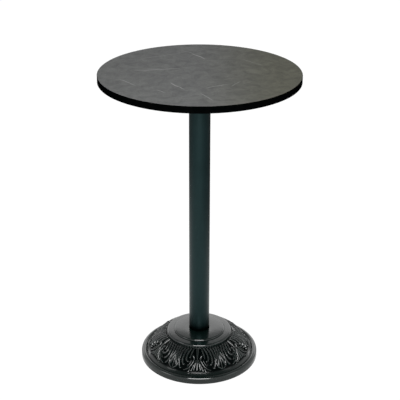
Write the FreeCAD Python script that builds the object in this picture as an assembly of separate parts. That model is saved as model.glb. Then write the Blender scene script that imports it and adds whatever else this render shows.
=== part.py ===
import FreeCAD, Part
import math
import os

from FreeCAD import Vector

# A round pub table: a laminated top on a cast spider, a steel column and an ornamented cast bell foot.
# A tie rod inside the column clamps the foot, the column and the spider together, and four levelling
# glides carry the foot. Millimetres, +Z up, origin on the floor under the column, front towards -Y.

# Overall sizes
table_height = 1130.0
top_diameter = 710.0
top_thickness = 24.0
column_diameter = 76.0
column_wall = 2.0
base_diameter = 444.0

# Fits shared by several pieces, and the overrun of every cut
slip_clearance = 0.3
thread_clearance = 0.05
seat_clearance = 0.05
cut_overrun = 5.0

# Laminates and edging of the top
laminate_thickness = 0.8
backing_thickness = 0.8
edging_lip = 1.5
edging_crown = 6.0
edging_tongue_depth = 9.0
edging_tongue_thickness = 2.4
edging_groove_clearance = 0.1

# Tie rod with its nuts and washers
rod_diameter = 12.0
rod_end_chamfer = 1.2
rod_hole_clearance = 0.5
rod_projection = 4.0
nut_across_flats = 19.0
nut_height = 10.0
nut_chamfer_rise = 1.4
washer_diameter = 34.0
washer_thickness = 3.0
spring_washer_diameter = 21.0
spring_washer_thickness = 2.6
spring_washer_split = 2.2

# Spider under the top
spider_reach = 192.0
spider_root_width = 46.0
spider_tip_width = 30.0
spider_plate_thickness = 7.0
spider_rib_thickness = 7.0
spider_rib_depth = 15.0
spider_rib_reach = 132.0
spider_hub_rim = 8.0
spider_hub_floor = 8.0
spider_recess_clearance = 2.0
spider_recess_headroom = 1.5
spider_spigot_length = 22.0
spider_spigot_wall = 6.0
arm_count = 4
arm_start_angle = 45.0

# Wood screws from the spider into the core
screw_diameter = 4.5
screw_length = 18.0
screw_tip_length = 4.0
screw_head_diameter = 9.5
screw_head_height = 3.2
screw_inner_circle = 300.0
screw_outer_circle = 354.0
screw_pilot_spare = 1.0

# Deck and rings of the foot
deck_height = 116.0
deck_diameter = 194.0
deck_roll = 6.5
ring_drop = 7.5
ring_diameter = 247.0
ring_fall = 1.0
ring_roll = 6.5
ring_groove_width = 1.4
ring_groove_depth = 1.2

# Leaf band and rim of the foot
band_drop = 22.0
band_ledge = 1.0
band_bulge = 6.0
flare_width = 17.0
flare_height = 19.5
flare_dip = 1.4
band_margin = 4.5
band_margin_rise = 1.75
rim_height = 22.5
rim_radius = 10.5
rim_start_angle = 140.0
foot_gap = 1.0
foot_width = 14.0

# Leaves and palmettes in relief on the band: each repeat is a palmette between two half leaves
repeat_count = 6
palmette_angle = 267.7
stroke_half_width = 4.0
stroke_height = 6.0
stroke_root = 2.0

# Section of a stroke between its two feet in the wall: shares of its half width and of its height
stroke_foot_share = 1.1
stroke_section_shares = [(-0.62, 0.76), (0.0, 1.0), (0.62, 0.76)]

# Crest of each stroke from root to tip: shares of the way round from the palmette's axis to the leaf's, of
# the way down the band, of the strokes' half width and of their height
leaf_rib_shares = [
    (1.0, 0.05, 0.55, 0.40), (1.0, 0.50, 0.85, 0.90), (1.0, 0.84, 0.80, 1.0), (1.0, 0.93, 0.30, 0.40)]
leaf_lobe_shares = [
    (0.92, 0.17, 0.40, 0.40), (0.887, 0.50, 0.75, 0.85), (0.867, 0.80, 0.75, 1.0), (0.863, 0.87, 0.30, 0.50)]
outer_hook_shares = [
    (0.80, 0.06, 0.50, 0.50), (0.74, 0.36, 0.75, 0.80), (0.613, 0.645, 0.75, 1.0), (0.587, 0.68, 0.35, 0.50)]
inner_hook_shares = [
    (0.487, 0.05, 0.60, 0.60), (0.58, 0.24, 0.70, 0.70), (0.55, 0.39, 0.75, 0.80), (0.447, 0.53, 0.80, 1.0),
    (0.42, 0.555, 0.35, 0.50)]
scroll_shares = [
    (0.213, 0.345, 0.80, 1.0), (0.163, 0.44, 0.60, 0.85), (0.213, 0.58, 0.70, 0.85),
    (0.313, 0.755, 0.75, 1.0), (0.433, 0.835, 0.55, 0.90), (0.46, 0.85, 0.25, 0.40)]
stem_shares = [(0.0, 0.03, 0.75, 0.50), (0.0, 0.36, 0.60, 0.60)]
fan_rib_shares = [(0.0, 0.45, 0.30, 0.40), (0.0, 0.80, 0.65, 1.0), (0.0, 0.87, 0.30, 0.50)]
fan_side_shares = [(0.05, 0.52, 0.25, 0.40), (0.085, 0.80, 0.58, 0.90), (0.09, 0.87, 0.25, 0.40)]

# Inside of the foot
base_wall = 8.0
boss_diameter = 92.0
boss_depth = 20.0
socket_depth = 5.0
spigot_height = 20.0
spigot_wall = 8.0

# Levelling glides
glide_count = 4
glide_start_angle = 45.0
glide_circle = 352.0
glide_boss_diameter = 26.0
glide_thread_diameter = 8.0
glide_thread_length = 22.0
glide_thread_spare = 2.0
glide_thread_chamfer = 1.0
glide_collar_flats = 13.0
glide_collar_height = 5.0
glide_head_diameter = 14.0
glide_head_height = 2.8
pad_diameter = 36.0
pad_floor = 3.0
pad_lip = 1.9
pad_neck_diameter = 24.0
pad_edge_radius = 2.0
pad_clearance = 2.0

# Levels and radii that follow from the sizes
panel_radius = top_diameter / 2 - edging_crown - edging_lip
top_underside = table_height - top_thickness
core_bottom = top_underside + backing_thickness
core_top = table_height - laminate_thickness
core_middle = (core_bottom + core_top) / 2
column_radius = column_diameter / 2
column_bore = column_radius - column_wall
fixing_height = washer_thickness + spring_washer_thickness + nut_height
recess_depth = fixing_height + rod_projection + spider_recess_headroom
hub_floor_top = top_underside - recess_depth
hub_bottom = hub_floor_top - spider_hub_floor
hub_radius = column_radius + spider_hub_rim
plate_bottom = top_underside - spider_plate_thickness
ring_height = deck_height - ring_drop
band_top_height = deck_height - band_drop
socket_floor = deck_height - socket_depth
boss_bottom = deck_height - base_wall - boss_depth
rod_radius = rod_diameter / 2
rod_hole_radius = rod_radius + rod_hole_clearance
rod_top = hub_floor_top + fixing_height + rod_projection
rod_bottom = boss_bottom - fixing_height - rod_projection
spigot_radius = column_bore - slip_clearance
pad_top = pad_floor + glide_head_height + slip_clearance + pad_lip
glide_collar_bottom = pad_top + slip_clearance
glide_seat = glide_collar_bottom + glide_collar_height
glide_radius = glide_circle / 2
glide_angle_step = 360.0 / glide_count
axis = Vector(0, 0, 1)
origin = Vector(0, 0, 0)


def at(radius, height):
    """Point of a turned outline: its radius and its height."""
    return Vector(radius, 0, height)


def line(start, end):
    """Straight edge between two points."""
    return Part.makeLine(start, end)


def arc(start, middle, end):
    """Round edge through three points."""
    return Part.Arc(start, middle, end).toShape()


def quarter_round(start, end, corner):
    """Quarter circle that rounds off a corner, as the edge of a moulding."""
    centre = start + end - corner
    middle = centre + (corner - centre) / math.sqrt(2)
    return arc(start, middle, end)


def bulged(start, end, bulge):
    """Arc that stands off its chord by the bulge, to the left of the way from start to end."""
    chord = end - start
    left = Vector(-chord.z, 0, chord.x).normalize()
    return arc(start, (start + end) / 2 + left * bulge, end)


def turned(edges):
    """Solid turned about the table's axis from a closed outline."""
    return Part.Face(Part.Wire(edges)).revolve(origin, axis, 360)


def turned_points(points):
    """Solid turned from a closed outline of straight lines."""
    return turned(Part.makePolygon(points + points[:1]).Edges)


def rod(radius, bottom, top):
    """Upright cylinder on the table's axis."""
    return Part.makeCylinder(radius, top - bottom, at(0, bottom))


def ring(outer, inner, bottom, top):
    """Upright tube on the table's axis."""
    return rod(outer, bottom, top).cut(rod(inner, bottom, top))


def hexagon(across_flats, bottom, top):
    """Upright hexagonal prism on the table's axis."""
    corner = across_flats / math.sqrt(3)
    turns = [math.radians(60 * step) for step in range(7)]
    points = [Vector(corner * math.cos(turn), corner * math.sin(turn), bottom) for turn in turns]
    return Part.Face(Part.makePolygon(points)).extrude(at(0, top - bottom))


def placed(shape, radius, angle):
    """Copy of a shape moved out along +X and then turned about the table's axis."""
    copy = shape.translated(Vector(radius, 0, 0))
    copy.rotate(origin, axis, angle)
    return copy


def arm_angles():
    """Directions of the spider's arms."""
    return [arm_start_angle + 360.0 * arm / arm_count for arm in range(arm_count)]


def glide_angles():
    """Directions of the levelling glides."""
    return [glide_start_angle + glide_angle_step * glide for glide in range(glide_count)]


def screw_places():
    """Radius and direction of each wood screw."""
    circles = (screw_inner_circle, screw_outer_circle)
    return [(circle / 2, angle) for angle in arm_angles() for circle in circles]


def screw_holes(radius, bottom, top):
    """One hole at each wood screw's place."""
    hole = rod(radius, bottom, top)
    return [placed(hole, place, angle) for place, angle in screw_places()]


def top_core():
    """Particleboard disc, grooved round its edge for the edging's tongue and drilled for the screws."""
    groove_half = edging_tongue_thickness / 2 + edging_groove_clearance
    groove_radius = panel_radius - edging_tongue_depth - edging_groove_clearance
    groove_outer = panel_radius + cut_overrun
    groove = ring(groove_outer, groove_radius, core_middle - groove_half, core_middle + groove_half)
    pilot_top = plate_bottom + screw_length + screw_pilot_spare
    pilots = screw_holes(screw_diameter / 2 + thread_clearance, core_bottom - cut_overrun, pilot_top)
    return rod(panel_radius - seat_clearance, core_bottom, core_top).cut([groove] + pilots)


def top_laminate():
    """Decorative laminate on the upper face."""
    return rod(panel_radius - seat_clearance, core_top, table_height)


def top_backing():
    """Balancing laminate under the core, drilled for the screws."""
    hole_radius = screw_diameter / 2 + thread_clearance
    holes = screw_holes(hole_radius, top_underside - cut_overrun, core_bottom + cut_overrun)
    return rod(panel_radius - seat_clearance, top_underside, core_bottom).cut(holes)


def top_edging():
    """T-section edging: a crowned face over the whole edge, and a tongue in the core's groove."""
    face_radius = panel_radius + edging_lip
    tongue_radius = panel_radius - edging_tongue_depth
    tongue_bottom = core_middle - edging_tongue_thickness / 2
    tongue_top = core_middle + edging_tongue_thickness / 2
    lower = at(face_radius, top_underside)
    upper = at(face_radius, table_height)
    crown = at(top_diameter / 2, (top_underside + table_height) / 2)
    inner = [
        upper,
        at(panel_radius, table_height),
        at(panel_radius, tongue_top),
        at(tongue_radius, tongue_top),
        at(tongue_radius, tongue_bottom),
        at(panel_radius, tongue_bottom),
        at(panel_radius, top_underside),
        lower,
    ]
    return turned([arc(lower, crown, upper)] + Part.makePolygon(inner).Edges)


def spider_arm():
    """Arm along +X: a tapered plate with a round end, over an upright rib that runs into the hub."""
    tip_radius = spider_tip_width / 2
    tip_centre = spider_reach - tip_radius
    root_half = spider_root_width / 2
    near_left = Vector(0, root_half, plate_bottom)
    near_right = Vector(0, -root_half, plate_bottom)
    tip_left = Vector(tip_centre, tip_radius, plate_bottom)
    tip_right = Vector(tip_centre, -tip_radius, plate_bottom)
    tip = Vector(spider_reach, 0, plate_bottom)
    outline = [
        line(near_left, near_right),
        line(near_right, tip_right),
        arc(tip_right, tip, tip_left),
        line(tip_left, near_left),
    ]
    plate = Part.Face(Part.Wire(outline)).extrude(at(0, spider_plate_thickness))
    web = [
        at(0, plate_bottom),
        at(0, plate_bottom - spider_rib_depth),
        at(hub_radius, plate_bottom - spider_rib_depth),
        at(spider_rib_reach, plate_bottom),
        at(0, plate_bottom),
    ]
    rib = Part.Face(Part.makePolygon(web)).extrude(Vector(0, spider_rib_thickness, 0))
    rib.translate(Vector(0, -spider_rib_thickness / 2, 0))
    return plate.fuse(rib)


def top_spider():
    """Cast cross: four arms on a hub with a recess for the nut above and a spigot in the column below."""
    arms = [placed(spider_arm(), 0, angle) for angle in arm_angles()]
    hub = rod(hub_radius, hub_bottom, top_underside)
    spigot_bore = spigot_radius - spider_spigot_wall
    spigot = ring(spigot_radius, spigot_bore, hub_bottom - spider_spigot_length, hub_bottom)
    recess_radius = washer_diameter / 2 + spider_recess_clearance
    recess = rod(recess_radius, hub_floor_top, top_underside + cut_overrun)
    rod_hole = rod(rod_hole_radius, hub_bottom - cut_overrun, top_underside)
    hole_radius = screw_diameter / 2 + slip_clearance
    holes = screw_holes(hole_radius, plate_bottom - cut_overrun, top_underside + cut_overrun)
    return hub.fuse(arms + [spigot]).cut([recess, rod_hole] + holes).removeSplitter()


def wood_screw():
    """Round-headed screw on the table's axis, its head under the spider's plate and its point upwards."""
    head_radius = screw_head_diameter / 2
    shank_radius = screw_diameter / 2
    head_low = plate_bottom - screw_head_height
    point = plate_bottom + screw_length
    dome_radius = (head_radius ** 2 + screw_head_height ** 2) / (2 * screw_head_height)
    half_turn = math.asin(head_radius / dome_radius) / 2
    dome_middle = at(dome_radius * math.sin(half_turn), head_low + dome_radius * (1 - math.cos(half_turn)))
    seat = at(head_radius, plate_bottom)
    shank = [
        seat,
        at(shank_radius, plate_bottom),
        at(shank_radius, point - screw_tip_length),
        at(0, point),
        at(0, head_low),
    ]
    return turned([arc(at(0, head_low), dome_middle, seat)] + Part.makePolygon(shank).Edges)


def spider_screws():
    """All the wood screws, one solid each."""
    return Part.makeCompound([placed(wood_screw(), place, angle) for place, angle in screw_places()])


def tie_rod():
    """Threaded rod through the column, chamfered at both ends."""
    narrow = rod_radius - rod_end_chamfer
    return turned_points([
        at(0, rod_bottom),
        at(narrow, rod_bottom),
        at(rod_radius, rod_bottom + rod_end_chamfer),
        at(rod_radius, rod_top - rod_end_chamfer),
        at(narrow, rod_top),
        at(0, rod_top),
    ])


def chamfered_nut(bottom):
    """Hexagon nut whose corners are turned off at both faces."""
    corner = nut_across_flats / math.sqrt(3)
    face_radius = nut_across_flats / 2
    top = bottom + nut_height
    turned_blank = turned_points([
        at(0, bottom),
        at(face_radius, bottom),
        at(corner, bottom + nut_chamfer_rise),
        at(corner, top - nut_chamfer_rise),
        at(face_radius, top),
        at(0, top),
    ])
    bore = rod(rod_radius + thread_clearance, bottom - cut_overrun, top + cut_overrun)
    return hexagon(nut_across_flats, bottom, top).common(turned_blank).cut(bore)


def flat_washer(bottom):
    """Plain washer on the tie rod."""
    return ring(washer_diameter / 2, rod_hole_radius, bottom, bottom + washer_thickness)


def spring_washer(bottom):
    """Spring washer on the tie rod, flattened by the nut and split on one side."""
    radius = spring_washer_diameter / 2
    body = ring(radius, rod_radius + slip_clearance, bottom, bottom + spring_washer_thickness)
    corner = Vector(0, -spring_washer_split / 2, bottom)
    split = Part.makeBox(radius + cut_overrun, spring_washer_split, spring_washer_thickness, corner)
    return body.cut(split)


def column_tube():
    """Steel tube from the foot's socket to the spider's hub."""
    return ring(column_radius, column_bore, socket_floor, hub_bottom)


def rim_points():
    """Start, middle and end of the rim's round shoulder, and the foot of its straight skirt."""
    centre_radius = base_diameter / 2 - rim_radius
    centre_height = rim_height - rim_radius

    def on_shoulder(angle):
        turn = math.radians(angle)
        return at(centre_radius + rim_radius * math.cos(turn), centre_height + rim_radius * math.sin(turn))

    return [
        on_shoulder(rim_start_angle),
        on_shoulder(rim_start_angle / 2),
        on_shoulder(0),
        at(base_diameter / 2, foot_gap),
    ]


def band_edges():
    """Bell of the foot under the leaves: a full curve below the rings, then a hollow flare to the rim."""
    start = at(ring_diameter / 2 + band_ledge, band_top_height)
    foot = rim_points()[0] + at(-band_margin, band_margin_rise)
    waist = foot + at(-flare_width, flare_height)
    return bulged(start, waist, band_bulge), bulged(waist, foot, -flare_dip)


def outer_outline():
    """Outside of the foot, from the middle of the deck down to the floor side of the rim."""
    deck_radius = deck_diameter / 2
    ring_radius = ring_diameter / 2
    ring_edge = ring_height - ring_fall
    groove_low = ring_height - ring_groove_depth
    groove_out = deck_radius + ring_groove_width
    bell, flare = band_edges()
    rim = rim_points()
    deck_start = at(deck_radius - deck_roll, deck_height)
    deck_end = at(deck_radius, deck_height - deck_roll)
    ring_start = at(ring_radius - ring_roll, ring_edge)
    ring_end = at(ring_radius, ring_edge - ring_roll)
    between = [
        deck_end,
        at(deck_radius, groove_low),
        at(groove_out, groove_low),
        at(groove_out, ring_height),
        ring_start,
    ]
    step = [ring_end, at(ring_radius, band_top_height), bell.valueAt(bell.FirstParameter)]
    return [
        line(at(0, foot_gap), at(0, deck_height)),
        line(at(0, deck_height), deck_start),
        quarter_round(deck_start, deck_end, at(deck_radius, deck_height)),
        *Part.makePolygon(between).Edges,
        quarter_round(ring_start, ring_end, at(ring_radius, ring_edge)),
        *Part.makePolygon(step).Edges,
        bell,
        flare,
        line(flare.valueAt(flare.LastParameter), rim[0]),
        arc(rim[0], rim[1], rim[2]),
        line(rim[2], rim[3]),
        line(rim[3], at(0, foot_gap)),
    ]


def band_place(turn_share, down_share):
    """Point of the band and the way straight out of it, at shares of half a repeat and of the way down."""
    bell, flare = band_edges()
    reach = down_share * (bell.Length + flare.Length)
    edge = bell if reach < bell.Length else flare
    parameter = edge.getParameterByLength(reach if edge is bell else reach - bell.Length)
    along = edge.tangentAt(parameter)
    turn = FreeCAD.Rotation(axis, palmette_angle + turn_share * 180.0 / repeat_count)
    return turn.multVec(edge.valueAt(parameter)), turn.multVec(Vector(-along.z, 0, along.x))


def stroke_section(place, along, wide, high):
    """Five-sided section of a stroke across its crest, with its feet inside the wall."""
    point, outward = place
    across = along.cross(outward).normalize() * (wide * stroke_half_width)
    left_foot = point - across * stroke_foot_share - outward * stroke_root
    right_foot = point + across * stroke_foot_share - outward * stroke_root
    rises = [(across * side, outward * (rise * high * stroke_height)) for side, rise in stroke_section_shares]
    crest = [point + sideways + upward for sideways, upward in rises]
    return Part.makePolygon([left_foot] + crest + [right_foot, left_foot])


def stroke(crest_shares):
    """Raised stroke of a leaf or palmette: a ridge lofted through the sections along its crest."""
    places = [band_place(turn, down) for turn, down, wide, high in crest_shares]
    points = [point for point, outward in places]
    before = points[:1] + points[:-1]
    after = points[1:] + points[-1:]
    ways = [end - start for start, end in zip(before, after)]
    sizes = [(wide, high) for turn, down, wide, high in crest_shares]
    sections = [stroke_section(place, way, *size) for place, way, size in zip(places, ways, sizes)]
    return Part.makeLoft(sections, True, True)


def mirrored(crest_shares):
    """The same crest on the other side of the palmette."""
    return [(-turn, down, wide, high) for turn, down, wide, high in crest_shares]


def leaf_band():
    """Every stroke of the band: palmettes of stem, scrolls and fan, and leaves of rib, lobes and hooks."""
    paired = [leaf_lobe_shares, outer_hook_shares, inner_hook_shares, scroll_shares, fan_side_shares]
    crests = [leaf_rib_shares, stem_shares, fan_rib_shares] + paired + [mirrored(crest) for crest in paired]
    strokes = [stroke(crest) for crest in crests]
    angles = [360.0 * repeat / repeat_count for repeat in range(repeat_count)]
    return [placed(shape, 0, angle) for angle in angles for shape in strokes]


def inward(edge, share):
    """Point of a bell edge at a share of its length, moved into the casting by the wall."""
    parameter = edge.getParameterByLength(share * edge.Length)
    along = edge.tangentAt(parameter)
    return edge.valueAt(parameter) + Vector(along.z, 0, -along.x) * base_wall


def hollow():
    """Space under the foot: the outside moved in by the wall, open at the floor."""
    bell, flare = band_edges()
    half_share = 0.5
    foot_inner = rim_points()[-1].x - foot_width
    ring_under = ring_height - ring_fall - base_wall
    deck_under = deck_height - base_wall
    deck_inner = deck_diameter / 2 - base_wall
    bell_top = inward(bell, 0)
    bell_low = inward(bell, 1)
    flare_low = inward(flare, 1)
    below = foot_gap - cut_overrun
    upper = [
        bell_top,
        at(ring_diameter / 2 - base_wall, ring_under),
        at(deck_inner, ring_under),
        at(deck_inner, deck_under),
        at(0, deck_under),
        at(0, below),
        at(foot_inner, below),
        at(foot_inner, foot_gap),
        flare_low,
    ]
    edges = Part.makePolygon(upper).Edges
    edges.append(arc(flare_low, inward(flare, half_share), bell_low))
    edges.append(arc(bell_low, inward(bell, half_share), bell_top))
    return turned(edges)


def glide_bosses(space):
    """Tapped bosses of the glides, from the glides' seat up to the wall."""
    post = placed(rod(glide_boss_diameter / 2, glide_seat, deck_height), glide_radius, 0).common(space)
    return [placed(post, 0, angle) for angle in glide_angles()]


def glide_rooms():
    """Free room round the glides' feet and collars, cut into the rim where the glides reach under it."""
    below = foot_gap - cut_overrun
    foot_room = rod(pad_diameter / 2 + pad_clearance, below, pad_top + slip_clearance)
    collar_room = rod(glide_collar_flats / math.sqrt(3) + pad_clearance, below, glide_seat)
    room = foot_room.fuse(collar_room)
    return [placed(room, glide_radius, angle) for angle in glide_angles()]


def base_casting():
    """Bell foot: deck, rings, leaf band and rim over an open hollow, with bosses and a spigot."""
    space = hollow()
    shell = turned(outer_outline()).fuse(leaf_band()).cut(space)
    boss = rod(boss_diameter / 2, boss_bottom, deck_height)
    body = shell.cut(glide_rooms()).fuse([boss] + glide_bosses(space))
    socket = rod(column_radius + slip_clearance, socket_floor, deck_height + cut_overrun)
    spigot = ring(spigot_radius, spigot_radius - spigot_wall, socket_floor, socket_floor + spigot_height)
    rod_hole = rod(rod_hole_radius, boss_bottom - cut_overrun, deck_height + cut_overrun)
    thread_radius = glide_thread_diameter / 2 + thread_clearance
    thread_top = glide_seat + glide_thread_length + glide_thread_spare
    thread = rod(thread_radius, glide_seat - cut_overrun, thread_top)
    threads = [placed(thread, glide_radius, angle) for angle in glide_angles()]
    return body.cut(socket).fuse(spigot).cut([rod_hole] + threads).removeSplitter()


def glide_screw():
    """Levelling screw on the table's axis: a round head in the foot, a hexagon collar and a threaded stud."""
    head = rod(glide_head_diameter / 2, pad_floor, pad_floor + glide_head_height)
    stud_radius = glide_thread_diameter / 2
    stud_top = glide_seat + glide_thread_length
    stud = turned_points([
        at(0, pad_floor),
        at(stud_radius, pad_floor),
        at(stud_radius, stud_top - glide_thread_chamfer),
        at(stud_radius - glide_thread_chamfer, stud_top),
        at(0, stud_top),
    ])
    collar = hexagon(glide_collar_flats, glide_collar_bottom, glide_seat)
    return head.fuse([stud, collar]).removeSplitter()


def glide_pad():
    """Nylon foot on the table's axis: a round-edged disc and a neck with the pocket of the screw's head."""
    outer = pad_diameter / 2
    neck = pad_neck_diameter / 2
    pocket = glide_head_diameter / 2 + slip_clearance
    mouth = glide_thread_diameter / 2 + slip_clearance
    pocket_top = pad_top - pad_lip
    edge_start = at(outer - pad_edge_radius, 0)
    edge_end = at(outer, pad_edge_radius)
    upper = [
        edge_end,
        at(outer, pad_floor),
        at(neck, pad_top),
        at(mouth, pad_top),
        at(mouth, pocket_top),
        at(pocket, pocket_top),
        at(pocket, pad_floor),
        at(0, pad_floor),
        at(0, 0),
        edge_start,
    ]
    corner = at(outer, 0)
    return turned([quarter_round(edge_start, edge_end, corner)] + Part.makePolygon(upper).Edges)


def pieces():
    """Every piece of the table under its name."""
    upper_spring = hub_floor_top + washer_thickness
    upper_nut = upper_spring + spring_washer_thickness
    lower_washer = boss_bottom - washer_thickness
    lower_spring = lower_washer - spring_washer_thickness
    lower_nut = lower_spring - nut_height
    shapes = {
        "top_laminate": top_laminate(),
        "top_core": top_core(),
        "top_backing": top_backing(),
        "top_edging": top_edging(),
        "top_spider": top_spider(),
        "spider_screws": spider_screws(),
        "upper_nut": chamfered_nut(upper_nut),
        "upper_spring_washer": spring_washer(upper_spring),
        "upper_washer": flat_washer(hub_floor_top),
        "tie_rod": tie_rod(),
        "column_tube": column_tube(),
        "base_casting": base_casting(),
        "lower_washer": flat_washer(lower_washer),
        "lower_spring_washer": spring_washer(lower_spring),
        "lower_nut": chamfered_nut(lower_nut),
    }
    for number, angle in enumerate(glide_angles(), start=1):
        shapes[f"glide_screw_{number}"] = placed(glide_screw(), glide_radius, angle)
        shapes[f"glide_pad_{number}"] = placed(glide_pad(), glide_radius, angle)
    return shapes


os.makedirs("parts", exist_ok=True)
for name, shape in pieces().items():
    shape.exportStep(f"parts/{name}.step")
    print(name, len(shape.Solids), shape.isValid(), round(shape.Volume))
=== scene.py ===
import math

import bpy
import numpy as np
from mathutils import Matrix, Vector


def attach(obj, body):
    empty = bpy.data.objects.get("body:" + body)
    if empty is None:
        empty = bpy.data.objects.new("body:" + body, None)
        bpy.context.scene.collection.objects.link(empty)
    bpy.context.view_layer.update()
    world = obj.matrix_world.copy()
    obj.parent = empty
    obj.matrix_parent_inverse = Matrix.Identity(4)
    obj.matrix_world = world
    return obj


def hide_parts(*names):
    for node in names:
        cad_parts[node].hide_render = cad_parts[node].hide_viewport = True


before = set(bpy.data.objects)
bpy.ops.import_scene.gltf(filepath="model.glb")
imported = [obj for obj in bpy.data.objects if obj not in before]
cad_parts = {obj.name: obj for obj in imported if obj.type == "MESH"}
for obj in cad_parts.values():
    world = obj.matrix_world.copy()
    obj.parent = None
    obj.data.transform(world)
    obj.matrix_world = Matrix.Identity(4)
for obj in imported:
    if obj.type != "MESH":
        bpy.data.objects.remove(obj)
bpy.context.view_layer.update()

# Levelling feet
# Four discs of black nylon, injection moulded and snapped over the heads of the levelling screws. They carry the
# table, so their skin is smooth, with the faint cloudy bloom of moulded nylon.

mm = 0.001


def linear(code):
    """Linear colour of an sRGB hex value: a channel up to 0.04045 is divided by 12.92, and a brighter one has 0.055
    added, is divided by 1.055 and is raised to the power of 2.4."""
    channels = [int(code[place:place + 2], 16) / 255 for place in (1, 3, 5)]
    return tuple(c / 12.92 if c <= 0.04045 else ((c + 0.055) / 1.055) ** 2.4 for c in channels) + (1.0,)


def new_finish(name):
    """Empty node material, named for the real finish."""
    finish = bpy.data.materials.new(name)
    finish.use_nodes = True
    finish.node_tree.nodes.clear()
    return finish


def add(finish, kind, sockets=(), **settings):
    """Adds a node with its settings; each socket gets a value, or a link when it is given another node's output."""
    step = finish.node_tree.nodes.new(kind)
    for name, value in settings.items():
        setattr(step, name, value)
    for name, value in dict(sockets).items():
        if isinstance(value, bpy.types.NodeSocket):
            finish.node_tree.links.new(value, step.inputs[name])
        else:
            step.inputs[name].default_value = value
    return step


def coat(node, finish):
    """Gives a CAD node its finish."""
    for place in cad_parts[node].material_slots:
        place.material = finish


# Moulded nylon: nearly black, half matt, with a bloom that drifts over some 6 mm and a grain of 0.4 mm.
nylon = new_finish("moulded_black_nylon")
place = add(nylon, "ShaderNodeTexCoord").outputs["Object"]
bloom = add(nylon, "ShaderNodeTexNoise", {"Vector": place, "Scale": 1 / (6 * mm), "Detail": 3.0}).outputs[0]
grain = add(nylon, "ShaderNodeTexNoise", {"Vector": place, "Scale": 1 / (0.4 * mm), "Detail": 2.0}).outputs[0]
tint = add(nylon, "ShaderNodeMix", {0: bloom, 6: linear("#0f1011"), 7: linear("#1d1e1f")}, data_type="RGBA")
gloss = add(nylon, "ShaderNodeMapRange", {"Value": bloom, "To Min": 0.40, "To Max": 0.58})
relief = add(nylon, "ShaderNodeBump", {"Height": grain, "Strength": 0.5, "Distance": 0.03 * mm})
shader = add(nylon, "ShaderNodeBsdfPrincipled", {
    "Base Color": tint.outputs[2], "Roughness": gloss.outputs[0], "IOR": 1.53, "Normal": relief.outputs[0]})
add(nylon, "ShaderNodeOutputMaterial", {"Surface": shader.outputs[0]})

for number in (1, 2, 3, 4):
    coat(f"glide_pad_{number}", nylon)

# Levelling screws
# Zinc-plated steel, cold headed with a hexagon collar for the spanner and a rolled M8 thread. The round head turns
# in the nylon foot and the thread runs up into the tapped boss of the casting.


def skin(name, grid, finish, joined=True, crease=38):
    """Closed mesh over a grid of points in millimetres, rows along the piece and columns round it.

    Four neighbouring points make a face, and the last column joins the first. Joined rows close on the first row,
    otherwise a flat cap closes each end. Faces look outwards when the outer side runs upwards and anticlockwise.
    """
    rows, columns = grid.shape[:2]
    row = np.arange(rows if joined else rows - 1)[:, None]
    column = np.arange(columns)[None, :]
    above = (row + 1) % rows * columns
    beside = (column + 1) % columns
    corners = [row * columns + column, row * columns + beside, above + beside, above + column]
    faces = np.stack(corners, axis=-1).reshape(-1, 4).tolist()
    if not joined:
        faces.append(list(range(columns))[::-1])
        faces.append(list(range((rows - 1) * columns, rows * columns)))
    mesh = bpy.data.meshes.new(name)
    mesh.from_pydata((grid.reshape(-1, 3) * mm).tolist(), [], faces)
    mesh.shade_smooth()
    mesh.set_sharp_from_angle(angle=math.radians(crease))
    mesh.materials.append(finish)
    piece = bpy.data.objects.new(name, mesh)
    bpy.context.scene.collection.objects.link(piece)
    return piece


def turned(radius, height, angle):
    """Points of a turned form: radius times cosine and sine of the angle, and the height, on one grid."""
    radius, height, angle = np.broadcast_arrays(radius, height, angle)
    return np.stack([radius * np.cos(angle), radius * np.sin(angle), height], axis=-1)


def thread(height, angle, pitch, crest, depth):
    """Radius of a right-hand thread: the crest less a clipped triangle wave of height over pitch minus the turn."""
    wave = np.abs(2 * np.mod(height / pitch - angle / (2 * np.pi), 1) - 1)
    return crest - depth * np.clip(1.5 * wave - 0.25, 0, 1)


# Zinc plate on steel: a bright grey metal, clouded over some 8 mm, with fine drawing marks of about 0.3 mm.
zinc = new_finish("zinc_plated_steel")
place = add(zinc, "ShaderNodeTexCoord").outputs["Object"]
cloud = add(zinc, "ShaderNodeTexNoise", {"Vector": place, "Scale": 1 / (8 * mm), "Detail": 4.0}).outputs[0]
marks = add(zinc, "ShaderNodeTexNoise", {"Vector": place, "Scale": 1 / (0.3 * mm), "Detail": 2.0}).outputs[0]
tint = add(zinc, "ShaderNodeMix", {0: cloud, 6: linear("#a9adb1"), 7: linear("#cfd0cd")}, data_type="RGBA")
gloss = add(zinc, "ShaderNodeMapRange", {"Value": cloud, "To Min": 0.26, "To Max": 0.46})
relief = add(zinc, "ShaderNodeBump", {"Height": marks, "Strength": 0.4, "Distance": 0.02 * mm})
shader = add(zinc, "ShaderNodeBsdfPrincipled", {
    "Base Color": tint.outputs[2], "Metallic": 1.0, "Roughness": gloss.outputs[0], "Normal": relief.outputs[0]})
add(zinc, "ShaderNodeOutputMaterial", {"Surface": shader.outputs[0]})

glide_reach = 176.0
glide_turns = np.radians([45, 135, 225, 315])
glide_places = np.stack([glide_reach * np.cos(glide_turns), glide_reach * np.sin(glide_turns)], axis=-1)
round_48 = np.linspace(0, 2 * np.pi, 48, endpoint=False)

# Radius and height of the bevelled head, the neck and the collar's underside.
collar_flat, collar_end = 6.5, 6.2
head_and_neck = np.array([
    (6.5, 3.0), (7.0, 3.5), (7.0, 5.3), (6.5, 5.8), (3.9, 5.8), (3.9, 8.3), (collar_end, 8.3)])

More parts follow.
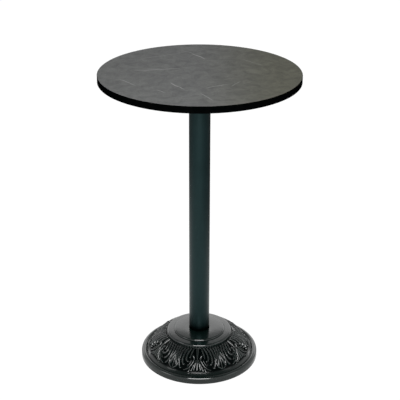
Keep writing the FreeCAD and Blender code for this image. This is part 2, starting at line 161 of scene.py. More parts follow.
# The thread stands on the collar and tapers at both of its ends.
stud_low, stud_top, stud_pitch, stud_crest, stud_depth = 13.3, 35.3, 1.25, 3.96, 0.70
low_taper, top_taper, taper_slope = 3.3, 3.1, 0.9
stud_height = np.linspace(stud_low, stud_top, 142)[:, None]
stud = thread(stud_height, round_48, stud_pitch, stud_crest, stud_depth)
stud = np.minimum(stud, np.minimum(
    low_taper + taper_slope * (stud_height - stud_low), top_taper + taper_slope * (stud_top - stud_height)))
plain = head_and_neck[:, :1] + 0 * round_48
hexagon = collar_flat / np.cos(np.mod(round_48, np.pi / 3) - np.pi / 6)
collar = np.stack([hexagon, hexagon, collar_end + 0 * round_48])
collar_height = np.array([9.0, 12.6, stud_low])[:, None]
screw_height = np.vstack([head_and_neck[:, 1:], collar_height, stud_height])
screw_form = turned(np.vstack([plain, collar, stud]), screw_height, round_48)

for number, (across, along) in enumerate(glide_places, start=1):
    screw = skin(f"levelling_screw_{number}_thread", screw_form + [across, along, 0], zinc, joined=False)
    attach(screw, f"levelling_screw_{number}")
    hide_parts(f"glide_screw_{number}")

# Bell foot
# Grey cast iron from a sand mould, some 8 mm thick: a slightly domed deck and a ring with rolled edges, a bell, and a
# rim with a round shoulder and an upright skirt. It is ground, primed and coated with stoved black enamel, which
# stays glossy.


def bow(start, end, rise, count):
    """Points of the circle through two ends whose middle stands off the chord by the rise, to its right."""
    start, end = np.array(start), np.array(end)
    half = np.hypot(*(end - start)) / 2
    radius = (half ** 2 + rise ** 2) / (2 * rise)
    spread = math.asin(half / radius)
    turn = np.linspace(-spread, spread, count)
    along = (end - start) / (2 * half)
    off = np.array([along[1], -along[0]])
    forth = np.outer(radius * np.sin(turn), along)
    aside = np.outer(radius * np.cos(turn) - radius + rise, off)
    return (start + end) / 2 + forth + aside


def soften(outline, radius, count=4):
    """Closed outline with rounded corners: at each corner a parabola between points one radius away on both sides, or
    0.45 of a side that is too short for it."""
    back = np.roll(outline, 1, axis=0) - outline
    ahead = np.roll(outline, -1, axis=0) - outline
    back_length = np.hypot(back[:, 0], back[:, 1])[:, None]
    ahead_length = np.hypot(ahead[:, 0], ahead[:, 1])[:, None]
    first = outline + back / back_length * np.minimum(radius, 0.45 * back_length)
    last = outline + ahead / ahead_length * np.minimum(radius, 0.45 * ahead_length)
    share = np.linspace(0, 1, count)[None, :, None]
    leaving = (1 - share) ** 2 * first[:, None]
    turning = 2 * share * (1 - share) * outline[:, None]
    arriving = share ** 2 * last[:, None]
    return (leaving + turning + arriving).reshape(-1, 2)


def lathe(outline, count):
    """Grid of a closed outline of radius and height, carried round the table's axis."""
    angle = np.linspace(0, 2 * np.pi, count, endpoint=False)
    return turned(outline[:, :1], outline[:, 1:], angle)


# Stoved black enamel: very dark with a breath of green, glossy, with the soft waviness that enamel keeps from the
# casting under it, about 14 mm long, and an orange peel of 1.6 mm. In the hollows of the relief, painted shade
# darkens it nearly to black and takes away most of its shine.
enamel = new_finish("stoved_black_enamel")
place = add(enamel, "ShaderNodeTexCoord").outputs["Object"]
pool = add(enamel, "ShaderNodeTexNoise", {"Vector": place, "Scale": 1 / (14 * mm), "Detail": 3.0}).outputs[0]
peel = add(enamel, "ShaderNodeTexNoise", {"Vector": place, "Scale": 1 / (1.6 * mm), "Detail": 2.0}).outputs[0]
tint = add(enamel, "ShaderNodeMix", {0: pool, 6: linear("#030a09"), 7: linear("#07110f")}, data_type="RGBA")
gloss = add(enamel, "ShaderNodeMapRange", {"Value": pool, "To Min": 0.10, "To Max": 0.16})
# Painted shade in the relief's hollows, from the attribute set on the leaf band: it darkens the tint and lowers the
# shine.
painted_hollow_shade = add(enamel, "ShaderNodeAttribute", attribute_name="painted_hollow_shade").outputs["Fac"]
shine = add(enamel, "ShaderNodeMapRange", {"Value": painted_hollow_shade, "To Min": 0.5, "To Max": 0.02})
tint = add(enamel, "ShaderNodeMix", {0: painted_hollow_shade, 6: tint.outputs[2], 7: linear("#010303")}, data_type="RGBA")
wave = add(enamel, "ShaderNodeBump", {"Height": pool, "Strength": 0.35, "Distance": 0.25 * mm})
relief = add(enamel, "ShaderNodeBump", {
    "Height": peel, "Strength": 0.35, "Distance": 0.015 * mm, "Normal": wave.outputs[0]})
shader = add(enamel, "ShaderNodeBsdfPrincipled", {
    "Base Color": tint.outputs[2], "Roughness": gloss.outputs[0], "IOR": 1.53, "Specular IOR Level": shine.outputs[0],
    "Normal": relief.outputs[0]})
add(enamel, "ShaderNodeOutputMaterial", {"Surface": shader.outputs[0]})

# Radius and height, from the lower edge of the skirt up the outside to the deck, through the column's socket and the
# rod's hole, and back along the underside.
skirt = [(208.0, 1.0), (222.0, 1.0)]
shoulder_reach, shoulder_height, shoulder_radius = 211.5, 16.5, 10.5
shoulder_turn = np.radians(np.linspace(0, 140, 15))
shoulder = np.stack([
    shoulder_reach + shoulder_radius * np.cos(shoulder_turn),
    shoulder_height + shoulder_radius * np.sin(shoulder_turn)], axis=-1)
flare = bow((199.0, 20.5), (182.0, 40.0), -1.4, 7)
bell = bow((182.0, 40.0), (124.5, 94.0), 6.0, 12)
ring_roll = bow((123.5, 101.0), (117.0, 107.5), 1.9, 8)
deck_roll = bow((97.0, 108.5), (90.5, 114.8), 1.9, 8)
deck_dome = bow((90.5, 114.8), (42.0, 116.0), 0.5, 7)
ring_step = [(123.5, 94.0)]
deck_groove = [(98.4, 108.5), (98.2, 108.3), (97.0, 108.3)]
socket = [(38.3, 116.0), (38.3, 111.0), (35.7, 111.0), (35.7, 131.0), (27.7, 131.0), (27.7, 111.0), (6.5, 111.0)]
underside = [(6.5, 88.0), (46.0, 88.0), (46.0, 108.0), (89.0, 108.0), (89.0, 99.5), (115.5, 99.5)]
inner_bell = bow((121.0, 86.8), (175.0, 36.1), -5.7, 9)
inner_flare = bow((175.0, 36.1), (194.2, 14.1), 1.4, 6)
foot_outline = np.vstack([
    skirt, shoulder, flare, bell[1:], ring_step, ring_roll, deck_groove, deck_roll, deck_dome[1:], socket, underside,
    inner_bell, inner_flare[1:]])
casting_round = 0.7
foot = skin("foot_casting", lathe(soften(foot_outline, casting_round), 224), enamel)
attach(foot, "table")
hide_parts("base_casting")

# Tapped bosses of the foot
# Four round posts cast under the bell in one piece with it, faced off, drilled and tapped for the levelling screws.
# Their upper ends run into the wall of the bell.

# Radius and height, from the bottom of the hole down its wall, over the faced end and up the outside. The last two
# rows get their heights from the bell's outer line, so far under it that they lie within the wall.
post_profile = np.array([
    (0.3, 36.0), (4.05, 36.0), (4.05, 14.2), (4.9, 13.3), (12.2, 13.3), (13.0, 14.1), (13.0, 0.0), (0.3, 0.0)])
wall_rows, wall_sink = slice(6, 8), 6
wall_line = np.vstack([flare, bell[1:]])
post_reach = post_profile[:, :1] + 0 * round_48
post_far = post_reach * np.cos(round_48) + glide_reach
post_side = post_reach * np.sin(round_48)
wall_middle = np.interp(-np.hypot(post_far, post_side), -wall_line[:, 0], wall_line[:, 1]) - wall_sink
post_height = post_profile[:, 1:] + 0 * round_48
post_height[wall_rows] = wall_middle[wall_rows]
for number, turn in enumerate(glide_turns, start=1):
    across = post_far * np.cos(turn) - post_side * np.sin(turn)
    along = post_far * np.sin(turn) + post_side * np.cos(turn)
    post = skin(f"glide_boss_{number}", np.stack([across, along, post_height], axis=-1), enamel, joined=False)
    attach(post, "table")
    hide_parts("base_casting")

# Leaf band of the foot
# Acanthus leaves and palmettes in high relief, six of each in turn round the bell, cast in one piece with it and
# enamelled with it. A leaf has a midrib, a pair of broad lobes and three hooks a side that curl away from it; a
# palmette has a stem, two scrolls and a fan of ribs. Each repeat, from leaf to leaf, is one piece here.

band_share = np.linspace(0, 1, 120)
walked = np.concatenate([[0], np.cumsum(np.hypot(*np.diff(wall_line, axis=0).T))])
band_length = walked[-1]
band_walk = (1 - band_share) * band_length
band_line = np.stack([np.interp(band_walk, walked, wall_line[:, axis]) for axis in (0, 1)], axis=-1)
band_way = np.gradient(band_line, axis=0)
band_way /= np.hypot(band_way[:, 0], band_way[:, 1])[:, None]
band_off = np.stack([-band_way[:, 1], band_way[:, 0]], axis=-1)
half_repeat, half_columns = 30, 120
half_turn = np.linspace(0, half_repeat, half_columns + 1)


def flowing(points, count=48):
    """Smooth run through a few points: a Catmull-Rom curve, a cubic in the share of each step between its points."""
    points = np.array(points)
    points = np.vstack([2 * points[0] - points[1], points, 2 * points[-1] - points[-2]])
    step = np.linspace(0, len(points) - 3 - 1e-9, count)
    first = step.astype(int)
    share = (step - first)[:, None]
    a, b, c, d = (points[first + shift] for shift in range(4))
    square = (2 * a - 5 * b + 4 * c - d) * share ** 2
    cube = (3 * b - a - 3 * c + d) * share ** 3
    return 0.5 * (2 * b + (c - a) * share + square + cube)


def stroke(points):
    """Height of a raised stroke over half a repeat: its own height times one less the cube of the distance from its
    run over its half width. A point is degrees from the palmette's axis, share down the band, half width and height.
    """
    run = flowing(points)
    across = np.radians(half_turn[:, None, None] - run[:, 0]) * band_line[None, :, :1]
    down = (band_share[None, :, None] - run[:, 1]) * band_length
    fall = 1 - (np.sqrt(across ** 2 + down ** 2) / run[:, 2]) ** 3
    return (run[:, 3] * np.clip(fall, 0, 1)).max(axis=-1)


leaf_strokes = [
    [(30, 0.02, 4.2, 4.6), (30, 0.30, 3.6, 5.6), (30, 0.55, 2.8, 5.2), (30, 0.80, 2.6, 4.4)],
    [(29.0, 0.26, 3.2, 5.6), (28.2, 0.45, 5.0, 7.2), (26.6, 0.63, 6.2, 7.8), (26.0, 0.69, 5.2, 7.2)],
    [(24.0, 0.60, 3.4, 5.6), (24.8, 0.72, 4.0, 6.6), (27.2, 0.80, 4.2, 6.8), (29.4, 0.845, 3.4, 5.6)],
    [(25.8, 0.05, 3.8, 4.6), (26.6, 0.24, 4.0, 5.6), (25.4, 0.44, 3.6, 6.0), (24.3, 0.55, 3.0, 5.6)],
    [(20.8, 0.05, 4.0, 5.0), (22.8, 0.24, 4.2, 6.0), (23.2, 0.48, 4.0, 6.6), (21.8, 0.67, 4.2, 6.8),
     (19.9, 0.765, 5.0, 7.4)],
    [(15.6, 0.04, 4.0, 5.0), (18.2, 0.20, 4.4, 6.0), (19.4, 0.42, 4.2, 6.6), (18.4, 0.56, 4.4, 7.0),
     (16.5, 0.630, 5.2, 7.8)],
    [(10.6, 0.04, 4.0, 5.0), (13.2, 0.18, 4.2, 6.0), (14.6, 0.36, 4.2, 6.6), (13.8, 0.47, 4.4, 7.0),
     (11.7, 0.515, 5.2, 7.8)],
]
palmette_strokes = [
    [(0, 0.02, 6.0, 4.6), (0, 0.20, 5.0, 5.0), (0, 0.40, 3.0, 5.0)],
    [(6.4, 0.04, 3.4, 4.2), (8.4, 0.20, 3.8, 5.0), (9.8, 0.38, 3.0, 5.0)],
    [(5.6, 0.31, 5.2, 7.8), (4.2, 0.40, 3.8, 6.4), (5.0, 0.50, 4.0, 6.8), (6.9, 0.60, 4.4, 7.2),
     (9.2, 0.70, 4.4, 7.2), (12.2, 0.77, 4.4, 7.0), (15.4, 0.82, 3.4, 6.0)],
    [(7.8, 0.46, 2.4, 5.0), (9.0, 0.56, 2.6, 5.6), (11.6, 0.67, 2.6, 5.6)],
    [(0, 0.43, 2.6, 5.6), (0, 0.60, 4.2, 7.0), (0, 0.79, 5.4, 7.2)],
    [(1.5, 0.45, 2.4, 5.6), (2.6, 0.60, 4.2, 7.0), (3.8, 0.79, 5.4, 7.0)],
    [(3.4, 0.55, 1.8, 4.6), (5.0, 0.68, 3.2, 5.8), (7.0, 0.83, 4.6, 6.2)],
    [(8.6, 0.76, 2.8, 4.8), (10.2, 0.88, 4.0, 5.2)],
]
half_relief = np.maximum.reduce([stroke(run) for run in leaf_strokes + palmette_strokes])

# The strokes die out at both edges of the band, and the ground between them stands a little proud of the bell.
edge_fade, ground_rise, band_depth = 0.025, 0.15, 4
repeat_column = np.arange(2 * half_columns + 1)
folded = np.abs(repeat_column - half_columns)
shown = np.clip(np.minimum(band_share, 1 - band_share) / edge_fade, 0, 1)
rise = shown * half_relief[folded] + ground_rise

# How deep the painted shade lies in a hollow: one on the ground, none on what rises above it and none at the band's
# foot.
hollow_level, hollow_range, hollow_end, hollow_fade = 1.15, 3.2, 0.93, 0.07
hollow_shade_depth = np.clip(hollow_level - rise / hollow_range, 0, 1)
hollow_shade_depth = hollow_shade_depth * np.clip((hollow_end - band_share) / hollow_fade, 0, 1)
hollow_shade_depth = np.hstack([hollow_shade_depth, 0 * rise[:, :2]]).ravel()
inner_line = (band_line - band_depth * band_off)[[-1, 0]]
outer_reach = np.hstack([band_line[:, 0] + band_off[:, 0] * rise, inner_line[:, 0] + 0 * rise[:, :2]])
outer_height = np.hstack([band_line[:, 1] + band_off[:, 1] * rise, inner_line[:, 1] + 0 * rise[:, :2]])
band_turn = -92.3
repeat_spread = (repeat_column - half_columns) * half_repeat / half_columns
for number in range(1, 7):
    repeat_turn = np.radians(band_turn + 2 * half_repeat * number + repeat_spread)[:, None]
    repeat_form = turned(outer_reach, outer_height, repeat_turn)
    leaves = skin(f"leaf_band_{number}", repeat_form, enamel, joined=False, crease=80)
    leaves.data.attributes.new("painted_hollow_shade", "FLOAT", "POINT").data.foreach_set("value", hollow_shade_depth)
    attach(leaves, "table")
    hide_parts("base_casting")

# Tie rod and its lower fixing
# An M12 steel rod, zinc plated and threaded at both ends, clamps the foot, the column and the spider together. A
# washer, a spring washer and a nut hold it under the boss of the foot; their plain forms are the CAD's own.

rod_bottom, rod_top, rod_thread, rod_plain = 68.4, 1104.5, 58.0, 5.9
rod_pitch, rod_crest, rod_depth, rod_end = 1.75, 5.95, 0.95, 4.8
thread_rows = 266
round_40 = np.linspace(0, 2 * np.pi, 40, endpoint=False)
lower_height = np.linspace(rod_bottom, rod_bottom + rod_thread, thread_rows)[:, None]
upper_height = np.linspace(rod_top - rod_thread, rod_top, thread_rows)[:, None]
rod_height = np.vstack([lower_height, upper_height])
to_end = np.minimum(rod_height - rod_bottom, rod_top - rod_height)
rod_radius = thread(rod_height, round_40, rod_pitch, rod_crest, rod_depth)
rod_radius = np.minimum(rod_radius, rod_end + taper_slope * to_end)
rod_radius[thread_rows - 1:thread_rows + 1] = rod_plain
tie_rod = skin("tie_rod_thread", turned(rod_radius, rod_height, round_40), zinc, joined=False)
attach(tie_rod, "table")
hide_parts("tie_rod")

for node in ("lower_washer", "lower_spring_washer", "lower_nut"):
    coat(node, zinc)

# Column
# Welded steel tube of 76 mm with its seam dressed off, cut square and powder coated dark green-black. It stands in
# the socket of the foot and is held at the top by the spider's spigot.

# Powder coat: satin and even, with an orange peel of about 1.8 mm and slow drifts of gloss over 60 mm. Over its
# lowest 40 mm, above the deck, painted shade runs it out into black.
powder_coat = new_finish("dark_satin_powder_coat")
place = add(powder_coat, "ShaderNodeTexCoord").outputs["Object"]
drift = add(powder_coat, "ShaderNodeTexNoise", {"Vector": place, "Scale": 1 / (60 * mm), "Detail": 2.0}).outputs[0]
peel = add(powder_coat, "ShaderNodeTexNoise", {"Vector": place, "Scale": 1 / (1.8 * mm), "Detail": 2.0}).outputs[0]
tint = add(powder_coat, "ShaderNodeMix", {0: drift, 6: linear("#030b0c"), 7: linear("#051011")}, data_type="RGBA")
level = add(powder_coat, "ShaderNodeSeparateXYZ", {0: place}).outputs[2]
# Painted shade: over the lowest 40 mm above the deck the coat turns black and loses its shine.
painted_foot_shade = add(powder_coat, "ShaderNodeMapRange", {
    "Value": level, "From Min": 119 * mm, "From Max": 158 * mm}, interpolation_type="SMOOTHSTEP").outputs[0]
tint = add(powder_coat, "ShaderNodeMix", {0: painted_foot_shade, 6: linear("#000101"), 7: tint.outputs[2]}, data_type="RGBA")
shine = add(powder_coat, "ShaderNodeMapRange", {"Value": painted_foot_shade, "To Min": 0.0, "To Max": 0.38})
gloss = add(powder_coat, "ShaderNodeMapRange", {"Value": drift, "To Min": 0.34, "To Max": 0.44})
relief = add(powder_coat, "ShaderNodeBump", {"Height": peel, "Strength": 0.4, "Distance": 0.02 * mm})
shader = add(powder_coat, "ShaderNodeBsdfPrincipled", {
    "Base Color": tint.outputs[2], "Roughness": gloss.outputs[0], "Specular IOR Level": shine.outputs[0],
    "Specular Tint": linear("#bcf0f2"), "Normal": relief.outputs[0]})
add(powder_coat, "ShaderNodeOutputMaterial", {"Surface": shader.outputs[0]})

tube_bore, tube_reach, tube_low, tube_top, cut_round = 36.0, 38.0, 111.0, 1076.9, 0.5
tube_outline = np.array([
    (tube_bore, tube_low), (tube_reach, tube_low), (tube_reach, tube_top), (tube_bore, tube_top)])
column = skin("column_shell", lathe(soften(tube_outline, cut_round), 160), powder_coat)
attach(column, "table")
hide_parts("column_tube")

# Spider and its upper fixing
# A cast-iron cross with four ribbed arms under the top. Its hub holds the column and hides the rod's upper nut. It
# comes from the sand mould with a coarse skin and is dipped in black primer; its form is the CAD's own.

# Primed casting: matt black over a sand skin of about 1.5 mm grain.
primer = new_finish("black_primed_sand_casting")
place = add(primer, "ShaderNodeTexCoord").outputs["Object"]
sand = add(primer, "ShaderNodeTexNoise", {"Vector": place, "Scale": 1 / (1.5 * mm), "Detail": 4.0}).outputs[0]
patch = add(primer, "ShaderNodeTexNoise", {"Vector": place, "Scale": 1 / (25 * mm), "Detail": 3.0}).outputs[0]
tint = add(primer, "ShaderNodeMix", {0: patch, 6: linear("#121313"), 7: linear("#232424")}, data_type="RGBA")
gloss = add(primer, "ShaderNodeMapRange", {"Value": patch, "To Min": 0.52, "To Max": 0.74})
relief = add(primer, "ShaderNodeBump", {"Height": sand, "Strength": 0.6, "Distance": 0.2 * mm})
shader = add(primer, "ShaderNodeBsdfPrincipled", {
    "Base Color": tint.outputs[2], "Roughness": gloss.outputs[0], "Normal": relief.outputs[0]})
add(primer, "ShaderNodeOutputMaterial", {"Surface": shader.outputs[0]})

coat("top_spider", primer)
for node in ("upper_washer", "upper_spring_washer", "upper_nut"):
    coat(node, zinc)

# Wood screws
# Eight zinc-plated steel screws, cold headed with a round head and a cross recess, two in each arm of the spider.
# They are driven up through the arm into the core, where their shanks don't show and are left plain.

head_low, plate_low, head_rim, dome_radius = 1095.8, 1099.0, 4.7, 5.12
shank, point, shank_length, screw_length = 2.2, 0.2, 14, 17.8
round_72 = np.linspace(0, 2 * np.pi, 72, endpoint=False)
head_reach = np.linspace(0.12, head_rim, 40)[:, None]
dome = head_low + dome_radius - np.sqrt(dome_radius ** 2 - head_reach ** 2)

# The recess: two crossed arms with sloping sides and ends.
recess_depth, arm_half, side_slope, arm_reach, end_slope = 1.5, 0.75, 0.25, 2.7, 0.9
cross_x, cross_y = np.abs(head_reach * np.cos(round_72)), np.abs(head_reach * np.sin(round_72))
arm_edge = np.clip((arm_half - np.minimum(cross_x, cross_y)) / side_slope, 0, 1)
arm_end = np.clip((arm_reach - np.maximum(cross_x, cross_y)) / end_slope, 0, 1)
head_height = dome + recess_depth * arm_edge * arm_end
shank_profile = np.array([
    (head_rim, plate_low), (shank, plate_low), (shank, plate_low + shank_length), (point, plate_low + screw_length)])
wood_reach = np.vstack([head_reach + 0 * round_72, shank_profile[:, :1] + 0 * round_72])
wood_height = np.vstack([head_height, shank_profile[:, 1:] + 0 * round_72])
wood_screw = turned(wood_reach, wood_height, round_72)
screw_places = [(reach, turn) for turn in glide_turns for reach in (150.0, 177.0)]
for number, (reach, turn) in enumerate(screw_places, start=1):
    shift = [reach * math.cos(turn), reach * math.sin(turn), 0]
    screw = skin(f"spider_screw_{number}", wood_screw + shift, zinc, joined=False)
    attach(screw, "table")
    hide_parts("spider_screws")

# Core and backing of the top
# A disc of particleboard, hidden by its facings, with a thin brown-grey balancing laminate glued under it. Both are
# pressed and sawn flat, so their forms are the CAD's own.

# Particleboard: pressed wood chips some 5 mm across, from straw to brown.
particleboard = new_finish("raw_particleboard")
place = add(particleboard, "ShaderNodeTexCoord").outputs["Object"]
chips = add(particleboard, "ShaderNodeTexVoronoi", {"Vector": place, "Scale": 1 / (5 * mm)})
dust = add(particleboard, "ShaderNodeTexNoise", {"Vector": place, "Scale": 1 / (1.2 * mm), "Detail": 3.0}).outputs[0]
chip = add(particleboard, "ShaderNodeSeparateColor", {0: chips.outputs["Color"]}).outputs[0]
tint = add(particleboard, "ShaderNodeMix", {0: chip, 6: linear("#b08d5c"), 7: linear("#8a6a42")}, data_type="RGBA")
relief = add(particleboard, "ShaderNodeBump", {"Height": dust, "Strength": 0.6, "Distance": 0.2 * mm})
shader = add(particleboard, "ShaderNodeBsdfPrincipled", {
    "Base Color": tint.outputs[2], "Roughness": 0.85, "Normal": relief.outputs[0]})
add(particleboard, "ShaderNodeOutputMaterial", {"Surface": shader.outputs[0]})
coat("top_core", particleboard)

# Balancing laminate: resin-soaked kraft paper, matt and faintly flecked at about 2 mm.
kraft = new_finish("brown_grey_balancing_laminate")
place = add(kraft, "ShaderNodeTexCoord").outputs["Object"]
fleck = add(kraft, "ShaderNodeTexNoise", {"Vector": place, "Scale": 1 / (2 * mm), "Detail": 4.0}).outputs[0]
tint = add(kraft, "ShaderNodeMix", {0: fleck, 6: linear("#3a3430"), 7: linear("#51493f")}, data_type="RGBA")
gloss = add(kraft, "ShaderNodeMapRange", {"Value": fleck, "To Min": 0.5, "To Max": 0.7})
shader = add(kraft, "ShaderNodeBsdfPrincipled", {"Base Color": tint.outputs[2], "Roughness": gloss.outputs[0]})
add(kraft, "ShaderNodeOutputMaterial", {"Surface": shader.outputs[0]})
coat("top_backing", kraft)

# Slate laminate of the top
# High-pressure laminate, 0.8 mm of resin-soaked paper with a printed sheet on top, pressed with a fine texture, glued
# on the core and trimmed flush.

# Slate print: matt grey with cloudy patches some 45 mm across, darker and warmer to the right, a grain of 5 mm,
# pitting of 1.2 mm, and a few pale veins, most of them on one slant.
slate = new_finish("grey_slate_print_laminate")
place = add(slate, "ShaderNodeTexCoord").outputs["Object"]
split = add(slate, "ShaderNodeSeparateXYZ", {0: place})
cloud = add(slate, "ShaderNodeTexNoise", {
    "Vector": place, "Scale": 1 / (45 * mm), "Detail": 6.0, "Roughness": 0.72, "Distortion": 0.8}).outputs[0]
shade = add(slate, "ShaderNodeMapRange", {"Value": cloud, "From Min": 0.32, "From Max": 0.68}).outputs[0]
grain = add(slate, "ShaderNodeTexNoise", {"Vector": place, "Scale": 1 / (5 * mm), "Detail": 4.0}).outputs[0]
pitting = add(slate, "ShaderNodeTexNoise", {"Vector": place, "Scale": 1 / (1.2 * mm), "Detail": 2.0}).outputs[0]
warm_side = add(slate, "ShaderNodeMapRange", {
    "Value": split.outputs[0], "From Min": -0.05, "From Max": 0.30}, interpolation_type="SMOOTHSTEP").outputs[0]
left_grey = add(slate, "ShaderNodeMix", {0: shade, 6: linear("#4b4c4c"), 7: linear("#626362")}, data_type="RGBA")
right_grey = add(slate, "ShaderNodeMix", {0: shade, 6: linear("#3f3f37"), 7: linear("#57574c")}, data_type="RGBA")
ground = add(slate, "ShaderNodeMix", {
    0: warm_side, 6: left_grey.outputs[2], 7: right_grey.outputs[2]}, data_type="RGBA")
speck = add(slate, "ShaderNodeMapRange", {
    "Value": grain, "From Min": 0.3, "From Max": 0.7, "To Min": 0.91, "To Max": 1.09})
colour = add(slate, "ShaderNodeMix", {
    0: 1.0, 6: ground.outputs[2], 7: speck.outputs[0]}, data_type="RGBA", blend_type="MULTIPLY").outputs[2]

wander = add(slate, "ShaderNodeTexNoise", {"Vector": place, "Scale": 1 / (45 * mm), "Detail": 3.0}).outputs[0]
sway = add(slate, "ShaderNodeMapRange", {"Value": wander, "To Min": -9 * mm, "To Max": 9 * mm}).outputs[0]

# Each vein's middle across and along the top, its slant in degrees, its length and how pale it is.
veins = [
    (-5, 199, -55, 90, 0.60), (-143, 37, 10, 180, 0.45), (-76, -149, -56, 100, 0.50), (58, -149, 28, 90, 0.45),
    (-242, -110, -53, 105, 0.35), (21, -259, -60, 95, 0.35), (121, -125, 59, 75, 0.22), (-42, 249, -41, 50, 0.35),
    (190, 120, -50, 110, 0.22), (-160, 190, 25, 120, 0.25), (-128, -205, -40, 45, 0.35),
]
for across, along, slant, length, strength in veins:
    # A vein: in its own frame a line along X that wanders sideways, fades out within 2.4 mm on each side of its
    # middle, and fades towards both ends.
    moved = add(slate, "ShaderNodeMapping", {
        "Vector": place, "Location": (across * mm, along * mm, 0), "Rotation": (0, 0, math.radians(slant))},
        vector_type="TEXTURE")
    own = add(slate, "ShaderNodeSeparateXYZ", {0: moved.outputs[0]})
    side = add(slate, "ShaderNodeMath", {0: own.outputs[1], 1: sway}, operation="ADD")
    away = add(slate, "ShaderNodeMath", {0: side.outputs[0]}, operation="ABSOLUTE")
    width = add(slate, "ShaderNodeMapRange", {
        "Value": away.outputs[0], "From Min": 0.4 * mm, "From Max": 2.4 * mm, "To Min": strength, "To Max": 0.0})
    far = add(slate, "ShaderNodeMath", {0: own.outputs[0]}, operation="ABSOLUTE")
    fade = add(slate, "ShaderNodeMapRange", {
        "Value": far.outputs[0], "From Min": 0.25 * length * mm, "From Max": 0.5 * length * mm, "To Min": 1.0,
        "To Max": 0.0})
    both = add(slate, "ShaderNodeMath", {0: width.outputs[0], 1: fade.outputs[0]}, operation="MULTIPLY")
    colour = add(slate, "ShaderNodeMix", {
        0: both.outputs[0], 6: colour, 7: linear("#a6a6a4")}, data_type="RGBA").outputs[2]

gloss = add(slate, "ShaderNodeMapRange", {"Value": cloud, "To Min": 0.52, "To Max": 0.66})
relief = add(slate, "ShaderNodeBump", {"Height": pitting, "Strength": 0.4, "Distance": 0.04 * mm})
shader = add(slate, "ShaderNodeBsdfPrincipled", {
    "Base Color": colour, "Roughness": gloss.outputs[0], "Specular IOR Level": 0.03, "Normal": relief.outputs[0]})
add(slate, "ShaderNodeOutputMaterial", {"Surface": shader.outputs[0]})

sheet_reach, sheet_low, top_face = 353.2, 1129.2, 1130.0
sheet_reaches = np.array([0.5, sheet_reach, sheet_reach, 0.5])[:, None]
sheet_heights = np.array([sheet_low, sheet_low, top_face, top_face])[:, None]
round_288 = np.linspace(0, 2 * np.pi, 288, endpoint=False)
sheet = skin("slate_sheet", turned(sheet_reaches, sheet_heights, round_288), slate, joined=False)
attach(sheet, "table")
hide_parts("top_laminate")

# Edging of the top
# Black extruded plastic edging of T section, its tongue knocked into the groove of the core. Its upright face is as
# high as the top is thick, and the slate sheet lies in a step along its upper edge.

# Extruded plastic: deep black and half matt, with faint drawing lines along the strip, about 1.5 mm apart.
edging_plastic = new_finish("black_extruded_edging")
place = add(edging_plastic, "ShaderNodeTexCoord").outputs["Object"]
level = add(edging_plastic, "ShaderNodeSeparateXYZ", {0: place}).outputs[2]
lines = add(edging_plastic, "ShaderNodeTexNoise", {
    "W": level, "Scale": 1 / (1.5 * mm), "Detail": 2.0}, noise_dimensions="1D")
scuff = add(edging_plastic, "ShaderNodeTexNoise", {"Vector": place, "Scale": 1 / (20 * mm), "Detail": 3.0}).outputs[0]
tint = add(edging_plastic, "ShaderNodeMix", {0: scuff, 6: linear("#000101"), 7: linear("#030303")}, data_type="RGBA")
gloss = add(edging_plastic, "ShaderNodeMapRange", {"Value": scuff, "To Min": 0.48, "To Max": 0.62})
relief = add(edging_plastic, "ShaderNodeBump", {"Height": lines.outputs[0], "Strength": 0.3, "Distance": 0.03 * mm})
shader = add(edging_plastic, "ShaderNodeBsdfPrincipled", {
    "Base Color": tint.outputs[2], "Roughness": gloss.outputs[0], "Specular IOR Level": 0.0,
    "Normal": relief.outputs[0]})
add(edging_plastic, "ShaderNodeOutputMaterial", {"Surface": shader.outputs[0]})

strip_reach, strip_back, strip_low, strip_round = 354.4, 347.5, 1106.0, 0.6
tongue_end, tongue_low, tongue_top = 338.5, 1116.8, 1119.2
strip = np.array([
    (strip_reach, strip_low), (strip_reach, top_face), (sheet_reach, top_face), (sheet_reach, sheet_low),
    (strip_back, sheet_low), (strip_back, tongue_top), (tongue_end, tongue_top), (tongue_end, tongue_low),
    (strip_back, tongue_low), (strip_back, strip_low)])
edging = skin("edging_strip", lathe(soften(strip, strip_round), 288), edging_plastic)
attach(edging, "table")
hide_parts("top_edging")

# Studio
# A pale seamless floor, a softbox high in front, a smaller panel at each side, and a long low panel behind that the
# enamel mirrors. The white room is darker overhead, most of all in front.

# Matt white floor: white to the camera, with a trace of the table's shadow. The glossy finishes mirror a glow from
# it, with a painted shadow close to the foot and a painted pool of light around the table that fades far off. From
# below it is clear, so that the underside can be seen.
pale_floor = new_finish("pale_studio_floor")
fleck = add(pale_floor, "ShaderNodeTexNoise", {"Scale": 3.0, "Detail": 2.0}).outputs[0]
tint = add(pale_floor, "ShaderNodeMix", {0: fleck, 6: linear("#f7f7f7"), 7: linear("#fbfbfb")}, data_type="RGBA")
matt = add(pale_floor, "ShaderNodeBsdfDiffuse", {"Color": tint.outputs[2]})
ray = add(pale_floor, "ShaderNodeLightPath").outputs
seen = add(pale_floor, "ShaderNodeMath", {0: ray["Is Camera Ray"], 1: ray["Is Glossy Ray"]}, operation="MAXIMUM")
seen = add(pale_floor, "ShaderNodeMath", {0: seen.outputs[0], 1: ray["Is Transmission Ray"]}, operation="MAXIMUM")
place = add(pale_floor, "ShaderNodeTexCoord").outputs["Object"]
far = add(pale_floor, "ShaderNodeVectorMath", {0: place}, operation="LENGTH").outputs["Value"]
# Painted shadow: the floor that the finishes mirror is dimmed within 0.4 m of the axis.
painted_foot_shadow = add(pale_floor, "ShaderNodeMapRange", {
    "Value": far, "From Min": 0.23, "From Max": 0.40, "To Min": 0.75, "To Max": 1.0}).outputs[0]
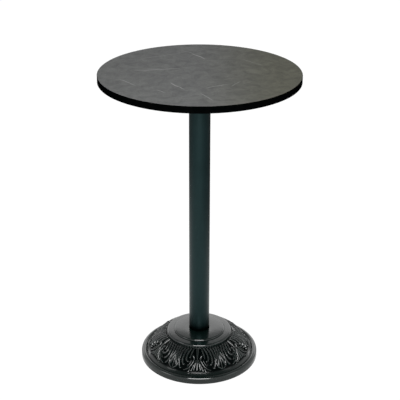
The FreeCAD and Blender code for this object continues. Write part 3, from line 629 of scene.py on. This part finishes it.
# Painted pool of light: the mirrored glow is brightest towards the front left and fades to a tenth far off.
away = add(pale_floor, "ShaderNodeVectorMath", {0: place, 1: (-0.45, -0.5, 0.0)}, operation="DISTANCE")
patch = add(pale_floor, "ShaderNodeMapRange", {
    "Value": away.outputs["Value"], "From Min": 0.9, "From Max": 2.2, "To Min": 1.0, "To Max": 0.1},
    interpolation_type="SMOOTHSTEP")
painted_floor_glow = add(pale_floor, "ShaderNodeMath", {0: painted_foot_shadow, 1: patch.outputs[0]}, operation="MULTIPLY")
bright = add(pale_floor, "ShaderNodeMix", {0: ray["Is Glossy Ray"], 2: 1.04, 3: painted_floor_glow.outputs[0]})
white = add(pale_floor, "ShaderNodeEmission", {"Color": (1.0, 1.0, 1.0, 1.0), "Strength": bright.outputs[0]})
pale = add(pale_floor, "ShaderNodeMixShader", {0: 0.97, 1: matt.outputs[0], 2: white.outputs[0]})
lit = add(pale_floor, "ShaderNodeMixShader", {0: seen.outputs[0], 1: matt.outputs[0], 2: pale.outputs[0]})
clear = add(pale_floor, "ShaderNodeBsdfTransparent")
below = add(pale_floor, "ShaderNodeNewGeometry").outputs["Backfacing"]
either = add(pale_floor, "ShaderNodeMixShader", {0: below, 1: lit.outputs[0], 2: clear.outputs[0]})
add(pale_floor, "ShaderNodeOutputMaterial", {"Surface": either.outputs[0]})

floor_half = 14
floor_corners = [(-floor_half, -floor_half, 0), (floor_half, -floor_half, 0), (floor_half, floor_half, 0),
                 (-floor_half, floor_half, 0)]
floor_mesh = bpy.data.meshes.new("studio_floor")
floor_mesh.from_pydata(floor_corners, [], [(0, 1, 2, 3)])
floor_mesh.materials.append(pale_floor)
floor = bpy.data.objects.new("studio_floor", floor_mesh)
bpy.context.scene.collection.objects.link(floor)


def panel(name, place, aim, width, height, radiance):
    """Soft rectangular lamp at a place, facing a point; its power is pi times its area times its radiance."""
    lamp = bpy.data.lights.new(name, "AREA")
    lamp.shape = "RECTANGLE"
    lamp.size, lamp.size_y = width, height
    lamp.energy = math.pi * width * height * radiance
    holder = bpy.data.objects.new(name, lamp)
    holder.location = place
    holder.rotation_euler = (Vector(aim) - Vector(place)).to_track_quat("-Z", "Y").to_euler()
    holder.visible_camera = False
    bpy.context.scene.collection.objects.link(holder)


panel("back_panel", (0, 2.8, 1.25), (0, 0, 1.0), 6.5, 1.3, 1.3)
panel("left_panel", (-2.8, -1.2, 1.9), (0, 0, 0.2), 1.2, 1.4, 2.4)
panel("right_panel", (2.8, -1.2, 1.9), (0, 0, 0.2), 1.2, 1.4, 1.0)
panel("front_softbox", (0, -2.6, 2.05), (0, -0.1, 0.3), 2.0, 1.35, 14.0)

room = bpy.data.worlds.new("white_room")
room.use_nodes = True
room.node_tree.nodes.clear()
way = add(room, "ShaderNodeSeparateXYZ", {0: add(room, "ShaderNodeTexCoord").outputs["Generated"]}).outputs
overhead = add(room, "ShaderNodeMapRange", {
    "Value": way[1], "From Min": -0.3, "From Max": 0.3, "To Min": 0.12, "To Max": 0.46},
    interpolation_type="SMOOTHSTEP")
dim = add(room, "ShaderNodeMapRange", {
    "Value": way[2], "From Min": 0.35, "From Max": 0.85, "To Min": 1.03, "To Max": overhead.outputs[0]},
    interpolation_type="SMOOTHSTEP")
light = add(room, "ShaderNodeBackground", {"Color": (1.0, 1.0, 1.0, 1.0), "Strength": dim.outputs[0]})
add(room, "ShaderNodeOutputWorld", {"Surface": light.outputs[0]})
bpy.context.scene.world = room

# Camera
# At the photograph's viewing angle, some 24 degrees down on the front of the table, with the long lens and the slight
# roll that fit the ellipses of its top and foot.

camera_place, camera_dip, camera_roll = (0.001766, -3.49239, 2.22152), 24.252, 0.15
lens = bpy.data.cameras.new("front_view")
lens.lens, lens.sensor_width = 94.77, 36.0
camera = bpy.data.objects.new("front_view", lens)
dip = Matrix.Rotation(math.radians(90 - camera_dip), 4, "X")
roll = Matrix.Rotation(math.radians(camera_roll), 4, "Z")
camera.matrix_world = Matrix.Translation(camera_place) @ (dip @ roll)
bpy.context.scene.collection.objects.link(camera)
bpy.context.scene.camera = camera
bpy.context.scene.view_settings.view_transform = "Standard"
